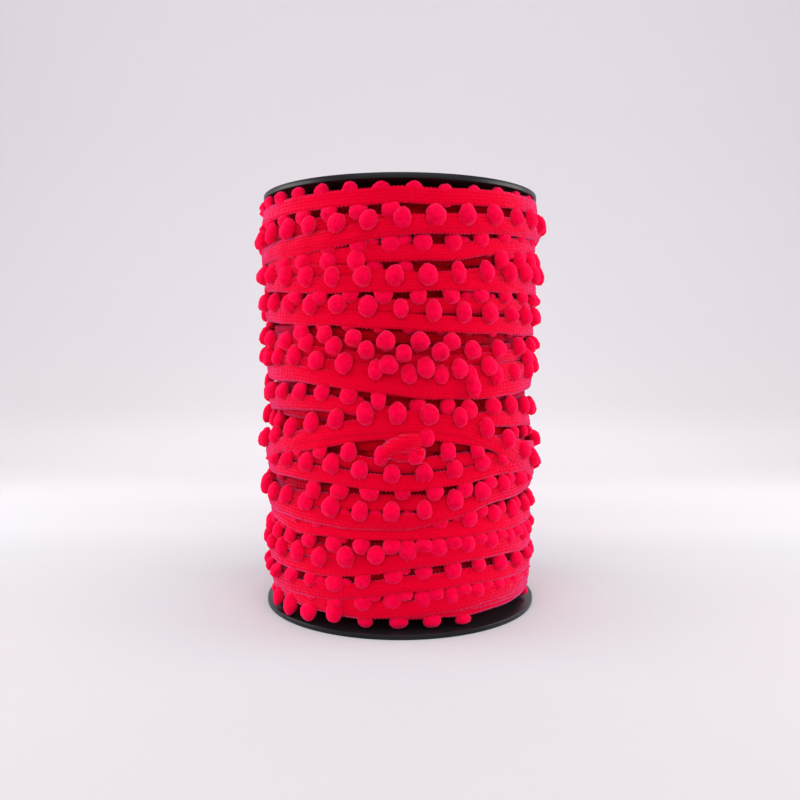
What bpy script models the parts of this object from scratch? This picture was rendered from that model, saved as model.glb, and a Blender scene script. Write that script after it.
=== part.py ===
# Roll of mini pompom trim wound on a thin-flanged plastic spool that stands on one flange.
# Metres, +Z up. The origin is the centre of the face that the spool stands on, and the
# angle 0 of a turn faces -Y, growing towards +X.

import math
from collections import namedtuple

import bmesh
import bpy

# Spool
SPOOL_HEIGHT = 0.125
FLANGE_RADIUS = 0.042
FLANGE_THICKNESS = 0.0015
FLANGE_EDGE_ROUND = 0.0004
HUB_RADIUS = 0.016
BORE_RADIUS = 0.0130
SPOOL_SIDES = 48

# Wound roll under the outermost turns
CLEARANCE = 0.0003
ROLL_SIDES = 36
TURN_COUNT = 16
TURN_WIDTH = 0.0046
TURN_SHOULDER = 0.0004
TURN_RISE = 0.0010
TURN_WAVE = 0.0006
TURN_WAVES_ROUND = 3.0
TURN_WAVE_DRIFT = 55.0
END_MARGIN = 0.0004

# Radius of the outermost tape's outer face, by height
RadiusAt = namedtuple("RadiusAt", "height radius")
ROLL_PROFILE = (
    RadiusAt(0.000, 0.0403),
    RadiusAt(0.015, 0.0407),
    RadiusAt(0.030, 0.0408),
    RadiusAt(0.045, 0.0414),
    RadiusAt(0.070, 0.0411),
    RadiusAt(0.090, 0.0417),
    RadiusAt(0.110, 0.0421),
    RadiusAt(0.125, 0.0421),
)

# Outermost turns: one continuous tape with pompoms along its upper edge
TAPE_WIDTH = 0.0044
TAPE_THICKNESS = 0.0009
TAPE_GAP = 0.0004
TAPE_CLEAR = 0.0003
POMPOM_SPACING = 0.0087
POMPOM_ROOT_WIDTH = 0.0020
POMPOM_WIDTH = 0.0048
POMPOM_CROWN_WIDTH = 0.0027
POMPOM_BELLY_HEIGHT = 0.0018
POMPOM_HEIGHT = 0.0037
POMPOM_REACH = 0.0023
POMPOM_BELLY_DEPTH = 0.0034
POMPOM_CROWN_DEPTH = 0.0020
POMPOM_SWAY = 0.0004
POMPOM_SWAY_STEP = 2.4
POMPOM_ROOM = TAPE_WIDTH + POMPOM_HEIGHT + TAPE_CLEAR

# Height of the tape's middle on each front crossing: to the left, in the middle, to the right
FRONT_KEY_ANGLE = math.radians(60.0)
Crossing = namedtuple("Crossing", "name left middle right")
CROSSINGS = (
    Crossing("lowest", 0.0057, 0.0080, 0.0110),
    Crossing("second", 0.0176, 0.0222, 0.0222),
    Crossing("third", 0.0324, 0.0335, 0.0373),
    Crossing("fourth", 0.0417, 0.0433, 0.0464),
    Crossing("arch", 0.0510, 0.0584, 0.0480),
    Crossing("sixth", 0.0712, 0.0684, 0.0679),
    Crossing("seventh", 0.0799, 0.0773, 0.0767),
    Crossing("eighth", 0.0886, 0.0862, 0.0856),
    Crossing("ninth", 0.0980, 0.0972, 0.0968),
    Crossing("tenth", 0.1078, 0.1103, 0.1128),
)
TAPE_START_TURN = -0.42
TAPE_END_TURN = 9.46

PLASTIC_BLACK = (0.012, 0.012, 0.014, 1.0)
TRIM_RED = (0.80, 0.004, 0.030, 1.0)
TRIM_RED_UNDER = (0.62, 0.003, 0.024, 1.0)


def clear_scene():
    for scene_object in list(bpy.data.objects):
        bpy.data.objects.remove(scene_object, do_unlink=True)


def principled(name, color, roughness):
    material = bpy.data.materials.new(name)
    material.use_nodes = True
    shader = material.node_tree.nodes["Principled BSDF"]
    shader.inputs["Base Color"].default_value = color
    shader.inputs["Roughness"].default_value = roughness
    shader.inputs["Metallic"].default_value = 0.0
    return material


def outer_radius(height):
    """Radius of the outermost tape's outer face, read off ROLL_PROFILE in straight lines."""
    for low, high in zip(ROLL_PROFILE, ROLL_PROFILE[1:]):
        if height <= high.height:
            share = (height - low.height) / (high.height - low.height)
            return low.radius + share * (high.radius - low.radius)
    return ROLL_PROFILE[-1].radius


def on_roll(radius, angle, height):
    return (radius * math.sin(angle), -radius * math.cos(angle), height)


def bridge(bm, ring_a, ring_b, closed=True):
    """Quads between two rings of vertices that match one for one."""
    count = len(ring_a)
    for i in range(count if closed else count - 1):
        j = (i + 1) % count
        bm.faces.new((ring_a[i], ring_a[j], ring_b[j], ring_b[i]))


def finish_object(name, bm, material, collection):
    bmesh.ops.recalc_face_normals(bm, faces=bm.faces)
    mesh = bpy.data.meshes.new(name)
    bm.to_mesh(mesh)
    bm.free()
    mesh.materials.append(material)
    new_object = bpy.data.objects.new(name, mesh)
    collection.objects.link(new_object)
    return new_object


def rounded_rim(radius, low, high, edge_round):
    """Profile points down a flange's rim, from its top face to its bottom face."""
    inset = edge_round * (1.0 - math.sqrt(0.5))
    return [
        (radius - edge_round, high),
        (radius - inset, high - inset),
        (radius, high - edge_round),
        (radius, low + edge_round),
        (radius - inset, low + inset),
        (radius - edge_round, low),
    ]


def make_spool(collection, material):
    """Both flanges and the hollow hub between them, turned in one piece."""
    top = SPOOL_HEIGHT
    profile = [(BORE_RADIUS, top)]
    profile += rounded_rim(FLANGE_RADIUS, top - FLANGE_THICKNESS, top, FLANGE_EDGE_ROUND)
    profile += [(HUB_RADIUS, top - FLANGE_THICKNESS), (HUB_RADIUS, FLANGE_THICKNESS)]
    profile += rounded_rim(FLANGE_RADIUS, 0.0, FLANGE_THICKNESS, FLANGE_EDGE_ROUND)
    profile += [(BORE_RADIUS, 0.0)]

    mesh = bpy.data.meshes.new("spool")
    count = len(profile)
    edges = [(i, (i + 1) % count) for i in range(count)]
    mesh.from_pydata([(radius, 0.0, height) for radius, height in profile], edges, [])
    mesh.materials.append(material)
    spool = bpy.data.objects.new("spool", mesh)
    collection.objects.link(spool)

    screw = spool.modifiers.new("Turned", "SCREW")
    screw.axis = "Z"
    screw.steps = SPOOL_SIDES
    screw.render_steps = SPOOL_SIDES
    screw.use_merge_vertices = True
    screw.merge_threshold = 0.00001
    screw.use_smooth_shade = False
    return spool


def turn_section():
    """Height offset and rise of the four points that repeat with each wound turn."""
    return (
        (0.0, 0.0),
        (TURN_SHOULDER, TURN_RISE),
        (TURN_WIDTH - TURN_SHOULDER, TURN_RISE),
        (TURN_WIDTH, 0.0),
    )


def make_wound_roll(collection, material):
    """The wound body: a ring round the hub whose outside is a helix of raised turns."""
    bottom = FLANGE_THICKNESS + CLEARANCE
    top = SPOOL_HEIGHT - FLANGE_THICKNESS - CLEARANCE
    inner = HUB_RADIUS / math.cos(math.pi / ROLL_SIDES) + CLEARANCE
    first_edge = bottom + END_MARGIN
    pitch = (top - END_MARGIN - first_edge - TURN_WIDTH) / TURN_COUNT
    base_depth = TAPE_THICKNESS + TAPE_GAP + TURN_RISE

    bm = bmesh.new()

    def outside(angle, height, rise):
        wave = TURN_WAVE * math.sin(math.pi * (height - bottom) / (top - bottom))
        ripple = math.sin(TURN_WAVES_ROUND * angle + TURN_WAVE_DRIFT * height / SPOOL_HEIGHT)
        lifted = height + wave * ripple
        return bm.verts.new(on_roll(outer_radius(height) - base_depth + rise, angle, lifted))

    # Rows of one helical turn run on into the rows of the next, so row r at the end of
    # turn n is row r at the start of turn n + 1.
    columns = []
    for step in range(TURN_COUNT * ROLL_SIDES + 1):
        angle = 2.0 * math.pi * step / ROLL_SIDES + math.pi
        start = first_edge + pitch * step / ROLL_SIDES
        columns.append([outside(angle, start + offset, rise) for offset, rise in turn_section()])

    for step in range(len(columns) - 1):
        bridge(bm, columns[step], columns[step + 1], closed=False)
    for step in range(len(columns) - ROLL_SIDES - 1):
        above = step + ROLL_SIDES
        bm.faces.new((
            columns[step][3], columns[step + 1][3], columns[above + 1][0], columns[above][0]
        ))

    def flat_ring(radius, height):
        angles = [2.0 * math.pi * side / ROLL_SIDES + math.pi for side in range(ROLL_SIDES)]
        return [bm.verts.new(on_roll(radius, angle, height)) for angle in angles]

    bottom_outer = flat_ring(outer_radius(bottom) - base_depth, bottom)
    bottom_inner = flat_ring(inner, bottom)
    top_inner = flat_ring(inner, top)
    top_outer = flat_ring(outer_radius(top) - base_depth, top)
    bridge(bm, bottom_outer, bottom_inner)
    bridge(bm, bottom_inner, top_inner)
    bridge(bm, top_inner, top_outer)

    # Below the first turn and above the last one the outside closes on the flat ends, with
    # a step where the helix begins and where it ends.
    last = len(columns) - 1
    for side in range(ROLL_SIDES - 1):
        upper = last - ROLL_SIDES + side
        bm.faces.new((
            bottom_outer[side], bottom_outer[side + 1], columns[side + 1][0], columns[side][0]
        ))
        bm.faces.new((
            columns[upper][3], columns[upper + 1][3], top_outer[side + 1], top_outer[side]
        ))
    bm.faces.new((
        bottom_outer[-1], bottom_outer[0], *columns[0], columns[ROLL_SIDES][0],
        columns[ROLL_SIDES - 1][0],
    ))
    bm.faces.new((
        top_outer[0], top_outer[-1], columns[last - 1][3], columns[last][3],
        *reversed(columns[last][:3]), columns[last - ROLL_SIDES][3],
    ))
    return finish_object("wound_roll", bm, material, collection)


def turn_keys():
    """Where the tape's middle passes, as (turns from the first front crossing, height)."""
    share = FRONT_KEY_ANGLE / (2.0 * math.pi)
    keys = []
    for number, crossing in enumerate(CROSSINGS):
        keys.append((number - share, crossing.left))
        keys.append((number, crossing.middle))
        keys.append((number + share, crossing.right))
    return keys


def tape_height(turn, keys):
    """Smooth curve through the keys, level beyond its first and last ones."""
    if turn <= keys[0][0]:
        return keys[0][1]
    if turn >= keys[-1][0]:
        return keys[-1][1]
    index = max(i for i, key in enumerate(keys) if key[0] <= turn)
    before = keys[max(index - 1, 0)]
    low = keys[index]
    high = keys[index + 1]
    after = keys[min(index + 2, len(keys) - 1)]
    span = high[0] - low[0]
    share = (turn - low[0]) / span
    leave = (high[1] - before[1]) / (high[0] - before[0]) * span
    arrive = (after[1] - low[1]) / (after[0] - low[0]) * span
    square = share * share
    cube = square * share
    return (
        (2.0 * cube - 3.0 * square + 1.0) * low[1]
        + (cube - 2.0 * square + share) * leave
        + (3.0 * square - 2.0 * cube) * high[1]
        + (cube - square) * arrive
    )


def room_between(turn, keys):
    """Height from the tape's middle here to its middle one turn further on."""
    if turn < TAPE_START_TURN or turn + 1.0 > TAPE_END_TURN:
        return math.inf
    return tape_height(turn + 1.0, keys) - tape_height(turn, keys)


def tape_radius(turn, keys):
    """Outer face of the tape, lifted where it lies across the turn before it."""
    lifted_room = TAPE_WIDTH + 2.0 * TAPE_CLEAR
    share = (POMPOM_ROOM - room_between(turn - 1.0, keys)) / (POMPOM_ROOM - lifted_room)
    share = min(max(share, 0.0), 1.0)
    smooth = share * share * (3.0 - 2.0 * share)
    return outer_radius(tape_height(turn, keys)) + smooth * (TAPE_THICKNESS + TAPE_CLEAR)


def tape_section(bm, turn, keys):
    """The tape's four corners at one place: inner and outer bottom, outer and inner top."""
    angle = 2.0 * math.pi * turn
    middle = tape_height(turn, keys)
    outer = tape_radius(turn, keys)
    inner = outer - TAPE_THICKNESS
    low = middle - TAPE_WIDTH / 2.0
    high = middle + TAPE_WIDTH / 2.0
    corners = ((inner, low), (outer, low), (outer, high), (inner, high))
    return [bm.verts.new(on_roll(radius, angle, height)) for radius, height in corners]


def add_pompom(bm, root, turn, number, keys):
    """A four-sided pompom that grows from the tape's upper edge and leans outwards."""
    edge = tape_height(turn, keys) + TAPE_WIDTH / 2.0
    outer = tape_radius(turn, keys) + POMPOM_REACH
    belly = (POMPOM_BELLY_HEIGHT, POMPOM_WIDTH, outer - POMPOM_BELLY_DEPTH, outer)
    crown_middle = outer - POMPOM_BELLY_DEPTH / 2.0
    crown = (
        POMPOM_HEIGHT, POMPOM_CROWN_WIDTH,
        crown_middle - POMPOM_CROWN_DEPTH / 2.0, crown_middle + POMPOM_CROWN_DEPTH / 2.0,
    )
    sway = POMPOM_SWAY * math.sin(POMPOM_SWAY_STEP * number)
    ring = root
    for above, width, inner_radius, outer_radius_here in (belly, crown):
        centre = 2.0 * math.pi * turn + sway / outer_radius_here
        half = width / 2.0 / outer_radius_here
        corners = (
            (outer_radius_here, centre - half), (outer_radius_here, centre + half),
            (inner_radius, centre + half), (inner_radius, centre - half),
        )
        upper = [bm.verts.new(on_roll(radius, angle, edge + above)) for radius, angle in corners]
        bridge(bm, ring, upper)
        ring = upper
    bm.faces.new(ring)


def make_outer_turns(collection, material):
    """The outermost turns of the trim, with a pompom wherever the next turn leaves room."""
    keys = turn_keys()
    spacing = POMPOM_SPACING / (2.0 * math.pi * outer_radius(SPOOL_HEIGHT / 2.0))
    half_root = POMPOM_ROOT_WIDTH / 2.0 / (2.0 * math.pi * outer_radius(SPOOL_HEIGHT / 2.0))
    count = int((TAPE_END_TURN - TAPE_START_TURN) / spacing)

    bm = bmesh.new()
    previous = tape_section(bm, TAPE_START_TURN, keys)
    bm.faces.new(previous)
    for number in range(count):
        turn = TAPE_START_TURN + (number + 0.5) * spacing
        left = tape_section(bm, turn - half_root, keys)
        right = tape_section(bm, turn + half_root, keys)
        bridge(bm, previous, left)
        if room_between(turn, keys) > POMPOM_ROOM:
            bridge(bm, left[3:] + left[:3], right[3:] + right[:3], closed=False)
            add_pompom(bm, [left[2], right[2], right[3], left[3]], turn, number, keys)
        else:
            bridge(bm, left, right)
        previous = right
    end = tape_section(bm, TAPE_START_TURN + count * spacing, keys)
    bridge(bm, previous, end)
    bm.faces.new(end)
    return finish_object("outer_turns", bm, material, collection)


def main():
    clear_scene()
    collection = bpy.data.collections.new("pompom_trim_roll")
    bpy.context.scene.collection.children.link(collection)
    make_spool(collection, principled("spool_plastic", PLASTIC_BLACK, 0.32))
    make_wound_roll(collection, principled("wound_trim", TRIM_RED_UNDER, 0.95))
    make_outer_turns(collection, principled("outer_trim", TRIM_RED, 0.92))


main()
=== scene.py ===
import math
from collections import namedtuple

import bpy
import numpy as np
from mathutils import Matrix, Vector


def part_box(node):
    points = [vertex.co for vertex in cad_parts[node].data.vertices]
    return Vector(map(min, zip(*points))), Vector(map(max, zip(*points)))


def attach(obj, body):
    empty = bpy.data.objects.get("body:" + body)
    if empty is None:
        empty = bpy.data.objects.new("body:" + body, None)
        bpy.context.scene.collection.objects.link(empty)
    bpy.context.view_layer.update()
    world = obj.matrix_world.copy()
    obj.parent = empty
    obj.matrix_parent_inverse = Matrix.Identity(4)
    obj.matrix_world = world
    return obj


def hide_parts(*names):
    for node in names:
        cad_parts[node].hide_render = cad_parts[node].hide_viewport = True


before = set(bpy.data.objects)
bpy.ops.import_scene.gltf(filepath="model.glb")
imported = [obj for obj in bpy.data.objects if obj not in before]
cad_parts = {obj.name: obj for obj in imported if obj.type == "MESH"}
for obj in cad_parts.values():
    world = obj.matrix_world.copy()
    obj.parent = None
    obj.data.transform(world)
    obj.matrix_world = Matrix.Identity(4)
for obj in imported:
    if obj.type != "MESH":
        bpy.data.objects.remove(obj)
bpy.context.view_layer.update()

mm = 0.001
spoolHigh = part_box("spool")[1]
spoolHeight = spoolHigh.z / mm
flangeRadius = spoolHigh.x / mm


# Camera and light

viewSettings = {
    "cameraPlace": (0.0, -0.2579, 0.0792),
    "lookDown": 3.69,  # degrees below level
    "lens": 36.63,
    "sensorWidth": 36.0,
    "clipStart": 0.01,
    "worldColor": (0.90, 0.87, 0.90, 1.0),
    "worldStrength": 0.42,
}

AreaLight = namedtuple("AreaLight", "name place target size power color spread", defaults=(180,))
areaLights = (
    AreaLight("leftSoft", (-0.40, 0.0, 0.12), (0, 0, 0.07), (0.30, 0.22), 0.49, (1.0, 0.98, 0.99), 120),
    AreaLight("rightSoft", (0.40, 0.0, 0.12), (0, 0, 0.07), (0.30, 0.22), 0.49, (1.0, 0.98, 0.99), 120),
    AreaLight("frontFill", (0.02, -0.9, 0.60), (0, 0, 0.06), (1.8, 0.6), 5.8, (1.0, 0.98, 0.99)),
    AreaLight("topSoft", (0.0, -0.25, 0.95), (0, 0, 0.0), (0.9, 0.7), 3.1, (1.0, 0.99, 1.0)),
    AreaLight("sweepGlow", (0.0, 0.12, 0.30), (0, 0.36, 0.0), (1.6, 0.08), 0.65, (1.0, 0.98, 1.0)),
    AreaLight("wallWash", (0.0, 0.10, 0.80), (0, 0.55, 0.40), (1.4, 0.2), 0.85, (1.0, 0.98, 1.0)),
)


def makeCamera():
    s = viewSettings
    tilt = math.radians(90.0 - s["lookDown"])
    bpy.ops.object.camera_add(location=s["cameraPlace"], rotation=(tilt, 0.0, 0.0))
    camera = bpy.context.object
    camera.name = "frontCamera"
    camera.data.lens = s["lens"]
    camera.data.sensor_width = s["sensorWidth"]
    camera.data.clip_start = s["clipStart"]
    bpy.context.scene.camera = camera
    print("camera set")


def aimAt(lamp, target):
    x, y, z = (target[i] - lamp.location[i] for i in range(3))
    lamp.rotation_euler = (math.atan2(math.hypot(x, y), -z), 0.0, math.atan2(y, x) - math.pi / 2)


def makeLights():
    for light in areaLights:
        bpy.ops.object.light_add(type="AREA", location=light.place)
        lamp = bpy.context.object
        lamp.name = light.name
        lamp.data.shape = "RECTANGLE"
        lamp.data.size, lamp.data.size_y = light.size
        lamp.data.energy = light.power
        lamp.data.color = light.color
        lamp.data.spread = math.radians(light.spread)
        lamp.visible_camera = False
        aimAt(lamp, light.target)
    world = bpy.data.worlds.new("paleRoom")
    world.use_nodes = True
    background = world.node_tree.nodes["Background"]
    background.inputs["Color"].default_value = viewSettings["worldColor"]
    background.inputs["Strength"].default_value = viewSettings["worldStrength"]
    bpy.context.scene.world = world
    bpy.context.scene.view_settings.view_transform = "Standard"
    print("lights set")


# Small helpers

def deselectAll():
    for item in bpy.context.selected_objects:
        item.select_set(False)


def startPiece(name):
    piece = bpy.context.object
    piece.name = name
    piece.data.name = name
    return piece


def applyPlace(piece):
    deselectAll()
    piece.select_set(True)
    bpy.context.view_layer.objects.active = piece
    bpy.ops.object.transform_apply(location=True, rotation=True, scale=True)


# points in mm
def pieceFromArrays(name, points, faces):
    mesh = bpy.data.meshes.new(name)
    mesh.from_pydata((np.asarray(points) * mm).tolist(), [], faces)
    mesh.polygons.foreach_set("use_smooth", [True] * len(mesh.polygons))
    mesh.update()
    piece = bpy.data.objects.new(name, mesh)
    bpy.context.scene.collection.objects.link(piece)
    return piece


# Angles run from the front towards +X.
def onRoll(radius, angle, height):
    return np.stack([radius * np.sin(angle), -radius * np.cos(angle), height + 0 * angle], -1)


def smoothAlong(values, sigma):
    reach = int(3 * sigma)
    kernel = np.exp(-0.5 * (np.arange(-reach, reach + 1) / sigma) ** 2)
    kernel /= kernel.sum()
    padded = np.concatenate([np.repeat(values[:1], reach, 0), values, np.repeat(values[-1:], reach, 0)])
    lanes = padded.reshape(len(padded), -1)
    return np.stack([np.convolve(lane, kernel, "valid") for lane in lanes.T], -1).reshape(values.shape)


def widestAlong(values, reach):
    result = values.copy()
    for shift in range(1, reach + 1):
        result[shift:] = np.maximum(result[shift:], values[:-shift])
        result[:-shift] = np.maximum(result[:-shift], values[shift:])
    return result


# A taut strip spans straight between the high points across its width.
def hullAcross(levels, lanes):
    result = levels.copy()
    for i in range(len(lanes)):
        for j in range(i + 2, len(lanes)):
            share = (lanes[i + 1:j] - lanes[i]) / (lanes[j] - lanes[i])
            line = levels[:, i:i + 1] * (1 - share) + levels[:, j:j + 1] * share
            result[:, i + 1:j] = np.maximum(result[:, i + 1:j], line)
    return result


def curveThrough(xKeys, yKeys, x):
    xKeys, yKeys = np.asarray(xKeys, float), np.asarray(yKeys, float)
    slopes = np.gradient(yKeys, xKeys)
    i = np.clip(np.searchsorted(xKeys, x, "right") - 1, 0, len(xKeys) - 2)
    span = xKeys[i + 1] - xKeys[i]
    s = np.clip((x - xKeys[i]) / span, 0.0, 1.0)
    return (
        (2 * s**3 - 3 * s**2 + 1) * yKeys[i] + (s**3 - 2 * s**2 + s) * span * slopes[i]
        + (3 * s**2 - 2 * s**3) * yKeys[i + 1] + (s**3 - s**2) * span * slopes[i + 1]
    )


# The smaller of two values, rounded off where they meet.
def softLeast(first, second, rounding):
    return 0.5 * (first + second - np.sqrt((first - second) ** 2 + rounding))


# Slow even noise along a line, from a few sines.
def slowNoise(rng, x, lengths, size, circle=6.28):
    waves = [np.sin(x * 2 * math.pi / length + rng.uniform(0, circle)) for length in lengths]
    return size * sum(waves) / len(waves)


# How the trim lies on the spool, in mm and degrees

trimLay = {
    "steps": 480,  # samples for each turn
    "cell": 0.25,  # height step of the map of what has been wound
    "lanes": (-2.2, -1.8, -1.2, -0.6, 0.0, 0.6, 1.2, 1.8, 2.2),  # across the tape
    "thickness": (0.42, 0.82, 0.74, 0.96, 0.84, 0.96, 0.74, 0.82, 0.42),
    "bridge": 5,  # samples a tape holds its height past what it crosses
    "stretch": 5.0,  # samples over which it rounds off
    "sink": 0.4,  # how far it beds into what it crosses
    "bed": 0.7,  # how far it may be pulled down where many turns cross
    "give": 0.38,  # share of any height beyond the face that is left
    "coreRadius": (
        (0, 29.0), (4.6, 35.5), (6, 37.4), (20, 37.7), (50, 38.2), (67, 38.2), (70.5, 36.9), (79, 36.9),
        (83, 38.4), (90, 38.6), (118, 39.0), (121.5, 36.5), (125, 30.0),
    ),
    "faceRadius": (
        (0, 40.2), (10, 40.4), (20, 40.8), (30, 40.9), (36, 41.2), (46, 41.6), (60, 41.1), (72, 41.1),
        (85, 41.5), (95, 41.9), (105, 42.2), (125, 42.4),
    ),
    "meanRadius": 41.0,  # for what is measured round the roll
    "wander": 0.28,  # how far a tape strays up and down, and over how many samples
    "wanderLengths": (31, 47, 83),
    "overlap": 40,  # samples read past the ends of a turn
    "belowEase": 12,  # samples over which the depth of a turn changes
    "settle": 2.5,  # samples over which the laid tape is smoothed
    "halfCells": 9,  # cells of the map from a tape's middle to its edge
    "pressedPompom": 1.2,  # what a pompom under a tape adds
    "pressReach": 1.9,
    "pressLimit": 0.5,  # how far beyond the face it may lift a tape
    "pressStep": (0.55, 0.8),  # what a sample along and a mm up count for
    "pressDome": 12,  # the larger, the flatter
    "headHigh": 2.0,  # how far its head stands beyond its middle
    "headDome": 8,
    "scatter": 0.15,  # how uneven the row of pompoms is
    "feelAlong": (-3, 0, 3),  # where a pompom feels what it rests on, in samples and mm
    "feelUp": (-1.5, 0.0, 1.5),
    "bury": 1.5,  # a pompom's middle above what it rests on
    "outFrom": -0.3,  # and beyond its tape's face, least and most
    "outTo": 0.5,
    "backSpacing": 11.9,  # degrees between pompoms round the back
    "frontReach": 78.0,  # degrees to each side that count as the front
    "sideAngle": 45,  # where the values given for left and right hold
    "strayRise": 9.0,  # well above any hem, so a stray is a whole ball
}

frontAngles = (-60, -40, -20, 0, 20, 40, 60)

# One row for each time the trim crosses the front, in winding order: heights of the tape's
# middle at the front angles, angle of one pompom, degrees between them, how far above the
# tape's middle they sit at left, middle and right, how far the tape lies below the outermost
# turns, the angles between which it has no pompoms, how far above the tape's middle the
# pompoms start to stand out, how far they may stand beyond the tape at left, middle and right,
# and how much further out than usual they are. Three numbers stand for left, middle and right.
Turn = namedtuple(
    "Turn", "name heights ball spacing rises below bare hem proud lift",
    defaults=(0.0, (), 0.3, (9.0, 9.0, 9.0), 0.0),
)

footTurns = (
    Turn("footUnder", (7.4, 7.4, 7.4, 7.2, 7.0, 6.8, 6.8), -0.5, 13.6, (-3.4, -3.4, -3.2), 0.3,
         ((-80, -20), (34, 80)), 1.8, (1.0, 1.0, 1.0)),
)

lowerTurns = (
    Turn("foot", (9.0, 7.4, 6.9, 7.7, 8.7, 9.3, 9.5), -2.8, 11.8, (3.2, 3.2, 2.8), 0.2,
         (), 0.3, (3.4, 0.7, 0.9)),
    Turn("footNext", (10.3, 10.8, 12.3, 14.5, 15.6, 15.6, 14.4), -2.6, 11.9, (3.6, 3.2, 3.3), 0.1,
         (), 0.3, (4.0, 0.7, 1.6)),
    Turn("peepUnder", (22.2, 22.2, 22.2, 22.4, 22.4, 22.6, 22.6), -3.0, 12.0, (3.2, 3.2, 3.2), 1.6),
    Turn("lowOuter", (17.5, 17.7, 18.5, 21.2, 22.1, 22.5, 21.6), 3.0, 12.0, (3.5, 3.1, 3.0), 0.0,
         (), 0.3, (9.0, 1.2, 1.0)),
    Turn("lowBand", (29.8, 29.0, 29.1, 29.3, 29.6, 29.4, 29.4), 3.0, 12.6, (3.2, 3.2, 3.0), 0.4,
         (), 0.3, (3.0, 0.9, 2.4)),
    Turn("middleUnder", (36.0, 36.6, 37.2, 37.2, 37.0, 38.0, 38.0), 1.0, 12.4, (3.4, 3.3, 3.4), 1.0),
    Turn("ribbedOuter", (33.0, 32.5, 32.0, 31.9, 34.5, 37.8, 38.5), -3.0, 12.0, (4.0, 2.9, 2.6)),
    Turn("clumpUnder", (48.0, 48.2, 47.8, 47.0, 48.0, 48.0, 47.0), -7.0, 12.6, (3.3, 3.0, 3.3), 1.4,
         (), 0.3, (9.0, 9.0, 9.0), 0.6),
    Turn("underArch", (44.2, 44.4, 43.6, 42.8, 43.8, 45.3, 45.5), -3.0, 11.9, (3.4, 2.1, 2.8)),
    Turn("crumpled", (51.5, 52.6, 55.4, 57.0, 55.8, 52.6, 50.0), 0.0, 12.0, (3.0, 3.0, 3.0), 0.4,
         ((-80, 80),)),
    Turn("overArch", (63.3, 63.8, 63.3, 60.4, 58.8, 59.2, 58.5), -8.0, 11.8, (3.4, 3.9, 3.8), 0.6,
         ((-3, 24),)),
    Turn("arch", (50.5, 54.3, 57.3, 58.4, 57.4, 52.4, 45.5), -1.0, 11.9, (3.6, 3.4, 3.3)),
)

upperTurns = (
    Turn("crowdTop", (81.2, 80.4, 78.6, 77.4, 77.2, 77.6, 78.6), -5.0, 12.2, (3.0, 3.3, 3.2),
         (0.9, 2.4, 1.0), (), 0.3, (9.0, 9.0, 9.0), (0.6, 2.8, 0.6)),
    Turn("crowdHigh", (78.6, 77.6, 76.0, 75.0, 75.2, 75.6, 76.6), 1.3, 13.4, (3.0, 2.9, 3.0),
         (0.8, 2.3, 0.9), (), 0.3, (9.0, 9.0, 9.0), (0.4, 2.2, 0.4)),
    Turn("crowdLow", (75.2, 74.4, 73.2, 71.8, 72.0, 72.4, 73.0), -3.6, 12.9, (3.2, 3.3, 3.3),
         (0.6, 2.1, 0.8), (), 0.3, (9.0, 9.0, 9.0), (0.1, 1.6, 0.1)),
    Turn("crowdFoot", (71.8, 71.6, 70.6, 69.6, 69.4, 70.6, 72.4), 9.2, 13.2, (3.4, 4.6, 3.6),
         (0.5, 1.8, 0.6), (), 0.3, (9.0, 9.0, 9.0), (0.0, 1.2, 0.0)),
    Turn("fallingOuter", (71.8, 71.5, 70.2, 68.4, 67.2, 67.6, 68.4), 3.3, 12.1, (5.0, 4.3, 4.5)),
    Turn("highUnder", (90.5, 90.3, 90.1, 90.0, 90.2, 90.6, 90.6), -6.0, 12.7, (3.3, 3.4, 3.4), 1.8),
    Turn("wideOuter", (88.6, 87.8, 86.9, 86.1, 85.5, 85.2, 85.0), 0.3, 12.0, (3.5, 3.4, 3.3)),
    Turn("plainBand", (102.6, 103.4, 103.9, 104.0, 104.8, 107.0, 108.3), -3.6, 12.0, (3.2, 3.1, 3.2), 0.4,
         (), 0.3, (2.4, 1.2, 1.2)),
    Turn("shadeUnder", (100.0, 99.6, 99.0, 97.2, 97.4, 99.6, 101.0), -4.4, 11.7, (3.0, 4.0, 3.2), 0.9,
         ((-13, 33),)),
    Turn("paleOuter", (97.6, 96.3, 96.0, 96.2, 96.5, 96.7, 97.0), -1.8, 11.8, (2.4, 2.0, 3.6), 0.0,
         (), -0.9),
    Turn("topUnder", (112.0, 112.1, 112.2, 112.2, 112.3, 112.6, 113.0), -3.2, 11.9, (3.2, 3.2, 3.2), 1.8),
    Turn("topShade", (106.4, 106.8, 108.6, 110.7, 111.7, 112.3, 112.8), 0.7, 12.1, (3.2, 3.2, 3.2), 0.9,
         ((-80, 80),)),
    Turn("topBand", (118.0, 118.4, 118.8, 119.0, 119.1, 119.8, 120.1), -6.7, 11.8, (3.0, 0.5, 0.7), 0.0,
         (), 2.2, (9.0, 1.6, 1.2)),
    Turn("crossingOuter", (107.2, 107.8, 109.5, 111.4, 112.4, 113.0, 113.5), 0.8, 11.9, (4.5, 1.7, 2.1), 0.0,
         (), -0.8),
)

# Single pompoms that stand in front of the rest: angle, height, how far out.
strays = (
    (9.8, 55.2, 41.0), (65, 118.2, 39.6), (28.5, 68.6, 42.0),
    (-63, 5.2, 40.6), (-51, 5.0, 40.8), (-39, 4.8, 41.0), (-26.5, 6.2, 41.0),
    (-86, 106.4, 41.2), (-87, 97.6, 40.4), (-84, 90.2, 41.4), (-87, 69.0, 41.0), (-84, 58.8, 41.4),
)

innerLay = {
    "high": 115.0, "low": 5.5, "count": 15, "rise": 3.4, "below": 9.0,
    "spacing": 12.0,
    "shift": 37,  # degrees by which the pompoms move on from turn to turn
}


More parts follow.
